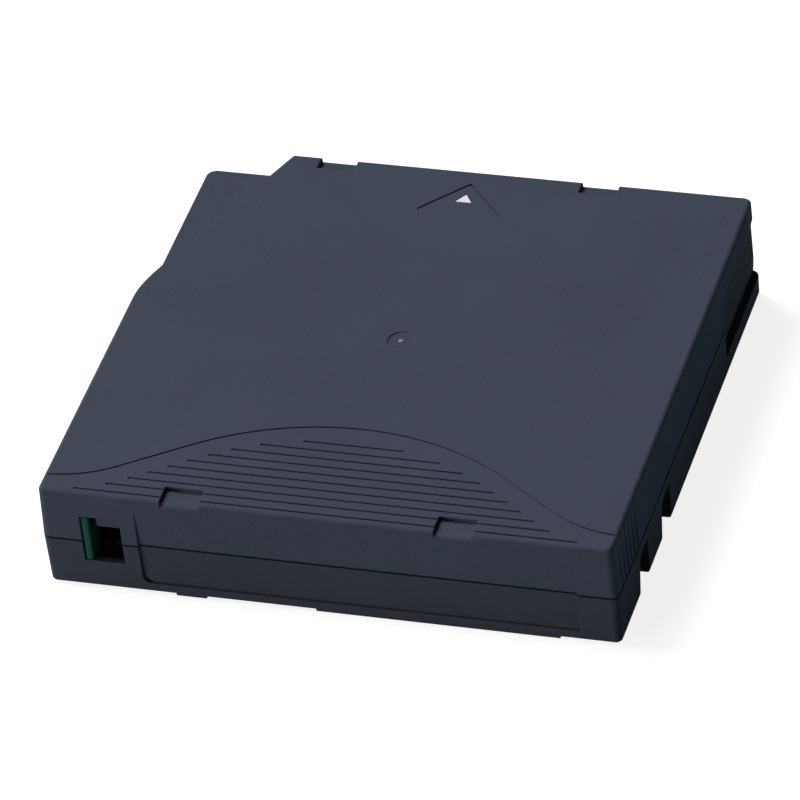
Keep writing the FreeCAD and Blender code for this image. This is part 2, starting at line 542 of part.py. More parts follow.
def upper_case():
    """Upper shell: roof with grip grooves, slanted guide, stacking notches, brake key and bosses."""
    body = new_body("upper_case")
    block = shell_block(body, "case_height - parting_height", False, "upper_draft")
    roof = value("case_height")
    top_edges = edges_where(block, lambda edge, middle: edge.BoundBox.ZLength < 0.001
                            and abs(middle.z - roof) < 0.001)
    dress(body, "Fillet", block, top_edges, "top_edge_radius")
    sketch = new_sketch(body, "XY_Plane", "case_height")
    outline(sketch, guide_line(value("guide_distance"), value("guide_blend"), value("case_length")))
    feature(body, "Pocket", sketch, "case_height - ledge_height")
    cut_seam(body, "parting_height + seam_width")

    # hollow: full plan up to the ledge's ceiling, and inside the guide wall up to the roof
    cut_block(body, "-" + INNER_X, INNER_X, "-" + INNER_Y, INNER_Y, "parting_height", LEDGE_CEILING)
    inside = "(guide_distance - guide_wall)"
    sketch = new_sketch(body, "XY_Plane", CEILING)
    polygon(sketch, [
        ("-" + INNER_X, "-" + INNER_Y), (INNER_X, "-" + INNER_Y), (INNER_X, INNER_Y),
        ("(%s*sin(guide_angle) - %s)/cos(guide_angle)" % (INNER_Y, inside), INNER_Y),
        ("-" + INNER_X, "(%s - %s*cos(guide_angle))/sin(guide_angle)" % (inside, INNER_X)),
    ])
    feature(body, "Pocket", sketch, CEILING + " - parting_height")

    # bosses, brake key, spring seat, pin pocket, guides of the slider and the door
    place_bosses(body, True)
    add_block(body, "-key_length/2", "key_length/2", "-key_width/2", "key_width/2", "key_bottom", CEILING)
    add_block(body, "-key_width/2", "key_width/2", "-key_length/2", "key_length/2", "key_bottom", CEILING)
    sketch = new_sketch(body, "XY_Plane", CEILING + " - seat_height")
    circle(sketch, "0", "0", "seat_inner")
    circle(sketch, "0", "0", "seat_inner + seat_wall")
    feature(body, "Pad", sketch, "seat_height")
    pocket_bottom = CEILING + " - pocket_height"
    pin_pocket(body, pocket_bottom, CEILING, (pocket_bottom + " - cut_past", CEILING))
    door_track(body, CEILING + " - track_height", CEILING)
    lintel_rear = "(lintel_thickness - %s)" % INNER_Y
    add_block(body, "lintel_start", SLIDER_END, "-" + INNER_Y, lintel_rear, "lintel_bottom", CEILING)
    add_block(body, "-" + INNER_X, SLIDER_END, SLIDER_REAR, SLIDER_REAR + " + guide_rib",
              "slider_top - guide_overlap", CEILING)
    add_block(body, "-" + INNER_X, "window_left - guide_overlap", "-" + INNER_Y, lintel_rear,
              "slider_top + running_gap", CEILING)

    # openings in the walls
    cut_window(body, "parting_height - cut_past", "window_top")
    cut_label_recess(body)
    cut_recess_seam(body, "parting_height")
    door_opening(body, "parting_height - cut_past", "door_top")
    sketch = new_sketch(body, "XY_Plane", "case_height + cut_past")
    edge_x = "(%s - upper_draft)" % HALF_LENGTH
    beyond_x, beyond_y = HALF_LENGTH + " + cut_past", HALF_WIDTH + " + cut_past"
    polygon(sketch, [
        (beyond_x, "lead_start - 2*lead_in"), (beyond_x, beyond_y), (edge_x + " - lead_in", beyond_y),
        (edge_x + " + upper_draft", "lead_start"),
    ])
    feature(body, "Pocket", sketch, "case_height - parting_height + 2*cut_past")

    cut_stacking_notches(body, "(stack_middle - stack_pitch/2)")
    cut_stacking_notches(body, "(stack_middle + stack_pitch/2)")

    # wave line across the roof, and the grip grooves behind it
    sketch = new_sketch(body, "XY_Plane", "case_height")
    front_line, rear_line = wave_line(0), wave_line(value("wave_groove"))
    half = value(HALF_LENGTH)
    right = Part.LineSegment(front_line[-1].EndPoint, rear_line[-1].EndPoint)
    left = Part.LineSegment(rear_line[0].StartPoint, front_line[0].StartPoint)
    outline(sketch, front_line + [right] + rear_line[::-1] + [left])
    feature(body, "Pocket", sketch, "groove_depth")
    sketch = new_sketch(body, "XY_Plane", "case_height")
    for number in range(int(value("rib_count"))):
        level = value("rib_start - " + HALF_WIDTH) + number * value("rib_pitch")
        reach = rib_half_length(level)
        width = value("rib_groove") / 2
        loop = [Vector(-reach, level - width, 0), Vector(reach, level - width, 0),
                Vector(reach, level + width, 0), Vector(-reach, level + width, 0)]
        outline(sketch, [Part.LineSegment(loop[i - 1], loop[i]) for i in range(4)])
    feature(body, "Pocket", sketch, "groove_depth")

    # chevron, arrow and moulding mark
    sketch = new_sketch(body, "XY_Plane", "case_height")
    drop = "chevron_groove*sqrt(1 + (chevron_rise/chevron_half)^2)"
    foot = "chevron_apex - chevron_rise"
    polygon(sketch, [
        ("-chevron_half", foot), ("0", "chevron_apex"), ("chevron_half", foot),
        ("chevron_half", foot + " - " + drop), ("0", "chevron_apex - " + drop),
        ("-chevron_half", foot + " - " + drop),
    ])
    feature(body, "Pocket", sketch, "chevron_depth")
    sketch = new_sketch(body, "XY_Plane", "case_height")
    polygon(sketch, [("-arrow_half", "arrow_apex - arrow_rise"), ("0", "arrow_apex"),
                     ("arrow_half", "arrow_apex - arrow_rise")])
    feature(body, "Pocket", sketch, "mark_depth")
    cut_hole(body, "0", "0", "gate_radius", "case_height - mark_depth", "case_height")

    # finger grooves in both sides, at the same pitch as the grip grooves
    sketch = new_sketch(body, "XY_Plane", "case_height")
    start = "(rib_start + rib_pitch - %s)" % HALF_WIDTH
    for side in ("-", ""):
        rectangle(sketch, side + "(%s - side_rib_depth)" % HALF_LENGTH,
                  side + "(%s + cut_past)" % HALF_LENGTH,
                  start + " - side_rib_groove/2", start + " + side_rib_groove/2")
    groove = feature(body, "Pocket", sketch, "case_height - parting_height - 2*seam_width")
    repeat_along(body, groove, "Y_Axis", "side_rib_count", "rib_pitch")
    return body


def lower_case():
    """Lower shell: floor with the drive opening, handling notches, locating holes, feet and bosses."""
    body = new_body("lower_case")
    block = shell_block(body, "parting_height - foot_height", True, "lower_draft")
    base = value("foot_height")
    bottom_edges = edges_where(block, lambda edge, middle: edge.BoundBox.ZLength < 0.001
                               and abs(middle.z - base) < 0.001)
    dress(body, "Fillet", block, bottom_edges, "bottom_edge_radius")
    cut_seam(body, "parting_height")
    cut_block(body, "-" + INNER_X, INNER_X, "-" + INNER_Y, INNER_Y, FLOOR, "parting_height")

    # rim and drive opening
    add_post(body, "0", "0", "opening_radius + rim_width", FLOOR, FLOOR + " + rim_height")
    cut_hole(body, "0", "0", "opening_radius", "0", FLOOR + " + rim_height")

    # bosses, locating holes, pin pocket, guides of the slider and the door, ribs under the memory board
    place_bosses(body, False)
    top_of_hole = "foot_height + locate_depth"
    top_of_post = top_of_hole + " + locate_wall"
    add_post(body, "locate_x", "locate_y", "locate_radius + locate_wall", FLOOR, top_of_post)
    cut_hole(body, "locate_x", "locate_y", "locate_radius", "0", top_of_hole)
    for side in ("-", "+"):
        add_post(body, "slot_x %s slot_half" % side, "slot_y", "locate_radius + locate_wall", FLOOR,
                 top_of_post)
    for side in ("-", "+"):
        cut_hole(body, "slot_x %s slot_half" % side, "slot_y", "locate_radius", "0", top_of_hole)
    cut_block(body, "slot_x - slot_half", "slot_x + slot_half", "slot_y - locate_radius",
              "slot_y + locate_radius", "0", top_of_hole)
    pin_pocket(body, FLOOR, FLOOR + " + pocket_height", (FLOOR, FLOOR + " + pocket_height + cut_past"))
    door_track(body, FLOOR, FLOOR + " + track_height")
    add_block(body, "-" + INNER_X, SLIDER_END, SLIDER_REAR, SLIDER_REAR + " + guide_rib", FLOOR,
              "slider_bottom + guide_overlap")
    for rail in ("-" + INNER_Y, SLIDER_REAR + " - guide_rib"):
        add_block(body, "-" + INNER_X, SLIDER_END, rail, rail + " + guide_rib", FLOOR,
                  "slider_bottom - running_gap")
    add_block(body, INNER_X + " - stop_reach", INNER_X, "stop_y - stop_thickness", "stop_y", FLOOR,
              "parting_height")
    memory_ribs(body)

    # openings in the walls
    cut_window(body, "window_bottom", "parting_height + cut_past")
    cut_label_recess(body)
    cut_recess_seam(body, "(parting_height - seam_width)")
    door_opening(body, "door_sill", "parting_height + cut_past")
    for start in ("grip_notch_a", "grip_notch_b"):
        handling_notch(body, start)

    # feet that sit in the stacking notches of the cartridge below
    left, right = "(stack_middle - stack_pitch/2)", "(stack_middle + stack_pitch/2)"
    front = "(%s - foot_inset - foot_reach)" % HALF_WIDTH
    rear = "(foot_inset - %s)" % HALF_WIDTH
    feet = [
        (left + " - foot_width/2", left + " + foot_width/2", front),
        (right + " - foot_width/2", right + " + foot_width/2", front),
        (left + " - foot_width/2", left + " + foot_width/2", rear),
        ("bar_start", "bar_end", rear),
    ]
    for start, end, near in feet:
        add_block(body, start, end, near, near + " + foot_reach", "0", "foot_height + foot_sink")
    return body


def memory_ribs(body):
    """Add two slanted ribs that the memory board rests on."""
    face = "(board_y + board_z - board_thickness/sqrt(2))"
    for place in ("board_x - board_length/2 + board_rib_inset",
                  "board_x + board_length/2 - board_rib_inset - board_rib"):
        sketch = new_sketch(body, "YZ_Plane", place)
        polygon(sketch, [
            ("-%s - sink" % INNER_Y, FLOOR + " - sink"),
            (face + " - %s + sink" % FLOOR, FLOOR + " - sink"),
            ("-%s - sink" % INNER_Y, face + " + %s + sink" % INNER_Y),
        ])
        feature(body, "Pad", sketch, "board_rib")


def handling_notch(body, start):
    """Thicken both side walls inside and cut the notch that a robot's fingers hold."""
    inner = "(%s - grip_notch_depth - grip_notch_wall)" % HALF_LENGTH
    for side in ("-", ""):
        add_block(body, side + inner, side + "(%s + sink)" % INNER_X, start + " - grip_notch_wall",
                  start + " + grip_notch_length + grip_notch_wall", FLOOR + " - sink",
                  "grip_notch_height + grip_notch_wall")
    for side, flip in (("-", True), ("", False)):
        sketch = new_sketch(body, "YZ_Plane", side + HALF_LENGTH)
        end = start + " + grip_notch_length"
        polygon(sketch, [
            (start, "-cut_past"), (end, "-cut_past"), (end, "grip_notch_height"),
            (start + " + grip_notch_lean/2 + grip_notch_corner", "grip_notch_height"),
            (start + " + grip_notch_lean/2 + grip_notch_corner/3", "grip_notch_height - grip_notch_corner/3"),
            (start + " + grip_notch_lean/2", "grip_notch_height - grip_notch_corner"),
        ])
        feature(body, "Pocket", sketch, "grip_notch_depth", flip)


def case_screws():
    """Four pan head screws with a cross recess, joined into one group of separate solids."""
    solids = []
    for number, (x, y, radius) in enumerate(SCREWS):
        head = cylinder("screw_head_%d" % number, "screw_head_radius", "head_height", x, y,
                        "head_seat - head_height")
        shank = cylinder("screw_shank_%d" % number, "screw_radius", "screw_end - head_seat + head_sink",
                         x, y, "head_seat - head_sink")
        cross = (("x", "recess_arm", "recess_width"), ("y", "recess_width", "recess_arm"))
        arms = [box("screw_arm_%d_%s" % (number, name), across, along, "recess_depth", x, y,
                    "head_seat - head_height") for name, across, along in cross]
        joined = doc.addObject("Part::Fuse", "screw_blank_%d" % number)
        joined.Base, joined.Tool = head, shank
        for arm in arms:
            cut = doc.addObject("Part::Cut", arm.Name + "_cut")
            cut.Base, cut.Tool = joined, arm
            joined = cut
        solids.append(joined)
    group = doc.addObject("Part::Compound", "case_screws")
    group.Label = "case_screws"
    group.Links = solids
    return group


def place_by_sheet(item, x, y, z):
    for axis, text in (("x", x), ("y", y), ("z", z)):
        item.setExpression("Placement.Base." + axis, bound(text))


def cylinder(name, radius, height, x, y, z):
    item = doc.addObject("Part::Cylinder", name)
    item.setExpression("Radius", bound(radius))
    item.setExpression("Height", bound(height))
    place_by_sheet(item, x, y, z)
    return item


def box(name, length, width, height, x, y, z):
    """Make a box centred on x and y, standing on z."""
    item = doc.addObject("Part::Box", name)
    item.setExpression("Length", bound(length))
    item.setExpression("Width", bound(width))
    item.setExpression("Height", bound(height))
    place_by_sheet(item, "%s - (%s)/2" % (x, length), "%s - (%s)/2" % (y, width), z)
    return item


# ---------------------------------------------------------------- door, its spring and the slider
def access_door():
    """Door panel with a hooked front end, guide lugs, and a rod for its spring."""
    body = new_body("access_door")
    front = "(%s - door_inset)" % HALF_WIDTH
    rear = "(door_start + running_gap)"
    sketch = new_sketch(body, "XY_Plane", "door_sill + running_gap")
    polygon(sketch, [
        (DOOR_IN, rear), (DOOR_OUT, rear), (DOOR_OUT, front), ("door_corner_x + running_gap", front),
        ("door_corner_x + running_gap", front + " - hook_thickness"), (DOOR_IN, front + " - hook_thickness"),
    ])
    panel = feature(body, "Pad", sketch, "door_top - door_top_gap - door_sill - running_gap")
    corner_x, corner_y = value(DOOR_OUT), value(front)
    corner = edges_where(panel, lambda edge, middle: upright(edge)
                         and middle.y > corner_y - NEAR and middle.x > corner_x - NEAR)
    dress(body, "Fillet", panel, corner, "0.8*door_thickness")
    sketch = new_sketch(body, "XZ_Plane", "-%s - cut_past" % HALF_WIDTH)
    polygon(sketch, [
        (DOOR_OUT, "bevel_top"), (DOOR_OUT + " + cut_past", "bevel_top"),
        (DOOR_OUT + " + cut_past", "door_sill"), (DOOR_OUT + " - bevel_depth", "door_sill"),
    ])
    feature(body, "Pocket", sketch, "case_width + 2*cut_past", True)
    for start in ("lug_first", "lug_second"):
        add_block(body, DOOR_LUG, DOOR_LUG + " + lug_width", start, start + " + lug_length",
                  FLOOR + " + running_gap", CEILING + " - running_gap")
    add_block(body, "spring_axis_x - rod_radius", DOOR_IN + " + pusher_sink", rear, rear + " + pusher_length",
              "spring_axis_z - pusher_height/2", "spring_axis_z + pusher_height/2")
    sketch = new_sketch(body, "XZ_Plane", "-" + rear)
    circle(sketch, "spring_axis_x", "spring_axis_z", "rod_radius")
    feature(body, "Pad", sketch, "rod_length")
    return body


def coil(label, turns, radius, wire, length):
    """Wind a compression spring round its own Z axis, from z = 0, as a ruled loft through wire sections."""
    radius, wire, height = value(radius), value(wire), value("(%s) - 2*(%s)" % (length, wire))
    steps = int(round(value(turns) * value("coil_steps")))
    sides = int(value("wire_sides"))
    sections = []
    for step in range(steps + 1):
        turned = Rotation(Vector(0, 0, 1), 360 * value(turns) * step / steps)
        level = wire + height * step / steps
        corners = []
        for side in range(sides):
            around = 2 * math.pi * side / sides
            corner = Vector(radius + wire * math.cos(around), 0, wire * math.sin(around))
            corners.append(turned.multVec(corner) + Vector(0, 0, level))
        sections.append(Part.makePolygon(corners + corners[:1]))
    item = doc.addObject("Part::Feature", label)
    item.Label = label
    item.Shape = Part.makeLoft(sections, True, True)
    return item


def door_spring():
    """Long spring between the door and the stop in the case."""
    length = "(door_start + running_gap - stop_y - 2*spring_gap)"
    body = coil("door_spring", "door_spring_turns", "door_spring_radius", "door_wire", length)
    body.Placement = Placement(Vector(0, 0, 0), Rotation(Vector(1, 0, 0), -90))
    place_by_sheet(body, "spring_axis_x", "stop_y + spring_gap", "spring_axis_z")
    return body


def write_protect_tab():
    """Slider with a finger ridge in the window and a springy back wall."""
    body = new_body("write_protect_tab")
    back = "(slot_gap - %s)" % INNER_Y
    right = "(slider_left + slider_length)"
    tip = "(ridge_inset - %s)" % HALF_WIDTH
    add_block(body, "slider_left", right, back, back + " + slider_depth", "slider_bottom", "slider_top")
    add_block(body, right + " - ridge_width", right, tip, back + " + ridge_sink",
              "window_bottom + ridge_gap", "slider_top")
    ridge = add_block(body, right + " - ridge_width", right, tip, back + " - 2*slot_gap",
                      "window_bottom + ridge_gap", "window_top - ridge_gap")
    front = edges_where(ridge, lambda edge, middle: upright(edge) and middle.y < value(tip) + NEAR)
    dress(body, "Fillet", ridge, front, "ridge_width/3")
    cut_block(body, "slider_left + finger_wall", right + " - finger_wall",
              back + " + slider_depth - finger_wall - finger_gap", back + " + slider_depth - finger_wall",
              "slider_bottom - cut_past", "slider_top + cut_past")
    return body


# ---------------------------------------------------------------- reel
HUB_TOP = "(reel_bottom + flange_thickness + tape_gap)"
HUB_FLOOR_TOP = "(reel_bottom + hub_floor)"
PAD_BOTTOM = "(reel_bottom + hub_floor + running_gap)"
BRAKE_ROOT = "(post_top + tooth_height + mesh_gap)"


def tooth_bar(body, inner, outer, root, tip, base_width, tip_width, turn="0"):
    """Pad one tooth as a tapered bar that points away from the axis, turned from +X by an angle."""
    sketch = new_sketch(body, "YZ_Plane")
    sketch.AttachmentOffset = Placement(Vector(0, 0, 0), Rotation(Vector(0, 1, 0), value(turn)))
    sketch.setExpression("AttachmentOffset.Base.x", bound("%s*sin(%s)" % (inner, turn)))
    sketch.setExpression("AttachmentOffset.Base.z", bound("%s*cos(%s)" % (inner, turn)))
    polygon(sketch, [("-%s/2" % base_width, root), ("%s/2" % base_width, root), ("%s/2" % tip_width, tip),
                     ("-%s/2" % tip_width, tip)])
    return feature(body, "Pad", sketch, "%s - %s" % (outer, inner))


def reel_hub():
    """Hub with its lower flange, the drive teeth below, and three toothed posts inside for the brake."""
    body = new_body("reel_hub")
    revolve(body, [
        ("0", "reel_bottom"), ("gear_inner", "reel_bottom"), ("gear_inner", "gear_root"),
        ("gear_outer", "gear_root"), ("gear_outer", "reel_bottom"), ("flange_radius", "reel_bottom"),
        ("flange_radius", "reel_bottom + flange_thickness - flange_rim"),
        ("hub_radius", "reel_bottom + flange_thickness"), ("hub_radius", HUB_TOP), ("hub_inner", HUB_TOP),
        ("hub_inner", HUB_FLOOR_TOP), ("0", HUB_FLOOR_TOP),
    ])
    tooth = tooth_bar(body, "gear_tooth_inner", "gear_tooth_outer", "gear_root + root_sink", "gear_tip",
                      "gear_tooth_base", "gear_tooth_top")
    repeat_round(body, tooth, "gear_teeth")

    # ring of posts with teeth on top, cut away between the three posts
    sketch = new_sketch(body, "XY_Plane", HUB_FLOOR_TOP)
    circle(sketch, "0", "0", "post_inner")
    circle(sketch, "0", "0", "post_outer")
    feature(body, "Pad", sketch, "post_top - " + HUB_FLOOR_TOP)
    tooth = tooth_bar(body, "post_inner + tooth_step", "post_outer - tooth_step", "post_top - root_sink",
                      "post_top + tooth_height", "tooth_base", "tooth_top")
    repeat_round(body, tooth, "brake_teeth")
    sketch = new_sketch(body, "XY_Plane", "post_top + tooth_height + cut_past")
    edge = "(60 - post_half_angle)"
    near, far = "(post_inner - post_cut_margin)", "(post_outer/cos(%s/2) + post_cut_margin/2)" % edge
    polygon(sketch, [
        ("%s*cos(%s)" % (near, edge), "-%s*sin(%s)" % (near, edge)),
        ("%s*cos(%s)" % (far, edge), "-%s*sin(%s)" % (far, edge)),
        (far, "0"),
        ("%s*cos(%s)" % (far, edge), "%s*sin(%s)" % (far, edge)),
        ("%s*cos(%s)" % (near, edge), "%s*sin(%s)" % (near, edge)),
    ])
    gap = feature(body, "Pocket", sketch, "post_top + tooth_height + cut_past - " + HUB_FLOOR_TOP)
    repeat_round(body, gap, "3")

    # slots for the legs of the release pad
    slot = cut_block(body, "leg_inner - running_gap", "leg_outer + running_gap", "-leg_half - running_gap",
                     "leg_half + running_gap", "0", HUB_FLOOR_TOP)
    repeat_round(body, slot, "3")
    return body


def reel_upper_flange():
    body = new_body("reel_upper_flange")
    revolve(body, [
        ("hub_inner - ring_thickness", "ring_top + spring_gap"), ("hub_inner", "ring_top + spring_gap"),
        ("hub_inner", HUB_TOP), ("flange_radius", HUB_TOP + " + flange_rim"),
        ("flange_radius", HUB_TOP + " + upper_flange_thickness"),
        ("hub_inner - ring_thickness", HUB_TOP + " + upper_flange_thickness"),
    ])
    return body


def ring(label, inner, outer, z0, z1):
    """Make a plain ring round the reel's axis as a cut of two cylinders."""
    made = doc.addObject("Part::Cut", label)
    made.Label = label
    made.Base = cylinder(label + "_outside", outer, "(%s) - (%s)" % (z1, z0), "0", "0", z0)
    made.Tool = cylinder(label + "_inside", inner, "(%s) - (%s) + 2*cut_past" % (z1, z0), "0", "0",
                         "(%s) - cut_past" % z0)
    return made


def release_pad():
    """Three-armed pad with legs that reach down between the drive teeth."""
    body = new_body("release_pad")
    top = PAD_BOTTOM + " + pad_thickness"
    add_post(body, "0", "0", "pad_radius", PAD_BOTTOM, top)
    arm = add_block(body, "0", "leg_outer", "-arm_half", "arm_half", PAD_BOTTOM, top)
    repeat_round(body, arm, "3")
    leg = add_block(body, "leg_inner", "leg_outer", "-leg_half", "leg_half", "leg_bottom",
                    PAD_BOTTOM + " + sink")
    repeat_round(body, leg, "3")
    return body


def brake_button():
    """Brake disc with a ring of teeth below, a nose on the pad and a keyed collar above."""
    body = new_body("brake_button")
    nose_tip = "(%s + pad_thickness + running_gap)" % PAD_BOTTOM
    disc_top = BRAKE_ROOT + " + brake_thickness"
    revolve(body, [
        ("0", nose_tip), ("nose_radius/2", nose_tip + " + nose_cap"),
        ("nose_radius", nose_tip + " + nose_rise"), ("nose_radius", BRAKE_ROOT), ("brake_radius", BRAKE_ROOT),
        ("brake_radius", disc_top), ("collar_radius", disc_top), ("collar_radius", "collar_top"),
        ("0", "collar_top"),
    ])
    tooth = tooth_bar(body, "brake_tooth_inner", "brake_radius - tooth_step", BRAKE_ROOT + " + root_sink",
                      BRAKE_ROOT + " - tooth_height", "tooth_base", "tooth_top", "180/brake_teeth")
    repeat_round(body, tooth, "brake_teeth")
    cut_block(body, "-key_length/2 - running_gap", "key_length/2 + running_gap", "-key_width/2 - running_gap",
              "key_width/2 + running_gap", "collar_floor", "collar_top")
    cut_block(body, "-key_width/2 - running_gap", "key_width/2 + running_gap", "-key_length/2 - running_gap",
              "key_length/2 + running_gap", "collar_floor", "collar_top")
    return body


def brake_spring():
    bottom = "(%s + brake_thickness + spring_gap)" % BRAKE_ROOT
    body = coil("brake_spring", "brake_spring_turns", "brake_spring_radius", "brake_wire",
                CEILING + " - spring_gap - " + bottom)
    place_by_sheet(body, "0", "0", bottom)
    return body


# ---------------------------------------------------------------- leader pin
def leader_pin():
    """Steel pin, waisted near both ends."""
    body = new_body("leader_pin")
    flange_end = "(pin_half - pin_disc - pin_neck)"
    shaft_end = "(pin_half - pin_disc - pin_neck - pin_flange)"
    half = [
        ("pin_disc_radius", "pin_half"), ("pin_disc_radius", "pin_half - pin_disc"),
        ("pin_neck_radius", "pin_half - pin_disc"), ("pin_neck_radius", flange_end),
        ("pin_flange_radius", flange_end), ("pin_flange_radius", shaft_end), ("pin_shaft_radius", shaft_end),
    ]
    upper = [("0", MIDDLE + " + pin_half")] + [(r, "%s + %s" % (MIDDLE, z)) for r, z in half]
    lower = [(r, "%s - (%s)" % (MIDDLE, z)) for r, z in half[::-1]] + [("0", MIDDLE + " - pin_half")]
    revolve(body, upper + lower)
    place_by_sheet(body, "pin_x", "pin_y", "0")
    return body


def leader_clip():
    """Clip with a mouth, pressed over the leader tape on the pin."""
    body = new_body("leader_clip")
    inner = "(pin_shaft_radius + leader_thickness)"
    sketch = new_sketch(body, "XY_Plane", MIDDLE + " - clip_length/2")
    circle(sketch, "0", "0", inner + " + clip_thickness")
    circle(sketch, "0", "0", inner)
    feature(body, "Pad", sketch, "clip_length")
    far = "3*" + inner
    sketch = new_sketch(body, "XY_Plane", MIDDLE + " + clip_length")
    polygon(sketch, [("0", "0"), ("0", far), ("-" + far, far), ("-" + far, "-%s*tan(clip_mouth)" % far)])
    feature(body, "Pocket", sketch, "2*clip_length")
    place_by_sheet(body, "pin_x", "pin_y", "0")
    return body


def leader_tape():
    """Free span from the pack's edge to the pin, with one turn round the pin.

    The real film is only about 0.02 mm thick; here it is thick enough to be a solid.
    """
    pin_x, pin_y = value("pin_x"), value("pin_y")
    outer = value("pin_shaft_radius + leader_thickness")
    pack = value("pack_radius + running_gap + leader_thickness")
    span = math.hypot(pin_x, pin_y)
    turn = math.atan2(pin_y, pin_x) + math.acos((pack - outer) / span)
    normal = Vector(math.cos(turn), math.sin(turn), 0)
    along = Vector(math.sin(turn), -math.cos(turn), 0)
    bottom = value(MIDDLE + " - tape_width/2")
    width, thickness = value("tape_width"), value("leader_thickness")
    start = normal * (pack - thickness) + along * value("tape_lead")
    end = Vector(pin_x, pin_y, 0) + normal * (outer - thickness)
    corners = [start, end, end + normal * thickness, start + normal * thickness, start]
    wire = Part.makePolygon([corner + Vector(0, 0, bottom) for corner in corners])
    strip = Part.Face(wire).extrude(Vector(0, 0, width))
    wrap = Part.makeCylinder(outer, width, Vector(pin_x, pin_y, bottom))
    core = Part.makeCylinder(outer - thickness, width, Vector(pin_x, pin_y, bottom))
    item = doc.addObject("Part::Feature", "leader_tape")
    item.Label = "leader_tape"
    item.Shape = strip.fuse(wrap).cut(core).removeSplitter()
    return item


def pin_retaining_spring():
    """Leaf spring: a spine on the front wall and two arms that press on the pin's necks."""
    body = new_body("pin_retaining_spring")
    level = "(pin_half - pin_disc - (pin_neck - leaf_thickness)/2)"
    tip = "(pin_y + pin_neck_radius + leaf_grip)"
    back = INNER_Y
    sketch = new_sketch(body, "YZ_Plane", "pin_x - leaf_width/2")
    polygon(sketch, [
        (back, "%s - %s" % (MIDDLE, level)), (back, "%s + %s" % (MIDDLE, level)),
        (tip, "%s + %s" % (MIDDLE, level)), (tip, "%s + %s - leaf_thickness" % (MIDDLE, level)),
        (back + " - leaf_thickness", "%s + %s - leaf_thickness" % (MIDDLE, level)),
        (back + " - leaf_thickness", "%s - %s + leaf_thickness" % (MIDDLE, level)),
        (tip, "%s - %s + leaf_thickness" % (MIDDLE, level)), (tip, "%s - %s" % (MIDDLE, level)),
    ])
    feature(body, "Pad", sketch, "leaf_width")
    return body


# ---------------------------------------------------------------- cartridge memory
def tilted_box(label, length, width, thickness, lift):
    """Make a plate tilted by 45 degrees about X, its middle raised off the board's middle by a lift."""
    item = doc.addObject("Part::Box", label)
    item.Label = label
    item.setExpression("Length", bound(length))
    item.setExpression("Width", bound(width))
    item.setExpression("Height", bound(thickness))
    item.Placement = Placement(Vector(0, 0, 0), Rotation(Vector(1, 0, 0), -45))
    place_by_sheet(item, "board_x - %s/2" % length,
                   "board_y + (%s - %s/2 - %s/2)/sqrt(2)" % (lift, width, thickness),
                   "board_z + (%s + %s/2 - %s/2)/sqrt(2)" % (lift, width, thickness))
    return item


# ---------------------------------------------------------------- assembly
TAPE_BOTTOM = "reel_bottom + flange_thickness + (tape_gap - tape_width)/2"
CHIP_LIFT = "(board_thickness + chip_thickness)/2"
PIECES = [
    upper_case(),
    lower_case(),
    case_screws(),
    access_door(),
    door_spring(),
    write_protect_tab(),
    reel_hub(),
    reel_upper_flange(),
    ring("hub_ring", "hub_inner - ring_thickness", "hub_inner", "ring_bottom", "ring_top"),
    ring("drive_plate", "plate_inner", "plate_outer", "reel_bottom - plate_thickness", "reel_bottom"),
    ring("tape_pack", "hub_radius", "pack_radius", TAPE_BOTTOM, TAPE_BOTTOM + " + tape_width"),
    release_pad(),
    brake_button(),
    brake_spring(),
    leader_pin(),
    leader_clip(),
    leader_tape(),
    pin_retaining_spring(),
    tilted_box("memory_board", "board_length", "board_width", "board_thickness", "0"),
    tilted_box("memory_chip", "chip_side", "chip_side", "chip_thickness", CHIP_LIFT),
]

doc.recompute()
failed = [item.Name for item in doc.Objects if "Invalid" in item.State or "Error" in item.State]
if failed:
    raise RuntimeError("failed: " + ", ".join(failed))
os.makedirs("parts", exist_ok=True)
for piece in PIECES:
    if piece.Shape.isNull() or not piece.Shape.isValid():
        raise RuntimeError(piece.Label + " has no valid shape")
    solids = piece.Shape.Solids
    print("%-22s solids %d  volume %9.2f mm3" % (piece.Label, len(solids), piece.Shape.Volume))
for piece in PIECES:
    piece.Shape.exportStep("parts/%s.step" % piece.Label)
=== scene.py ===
"""Half-inch data tape cartridge: materials, marks, floor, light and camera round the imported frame."""
import math
import bpy
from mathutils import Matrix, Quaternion, Vector


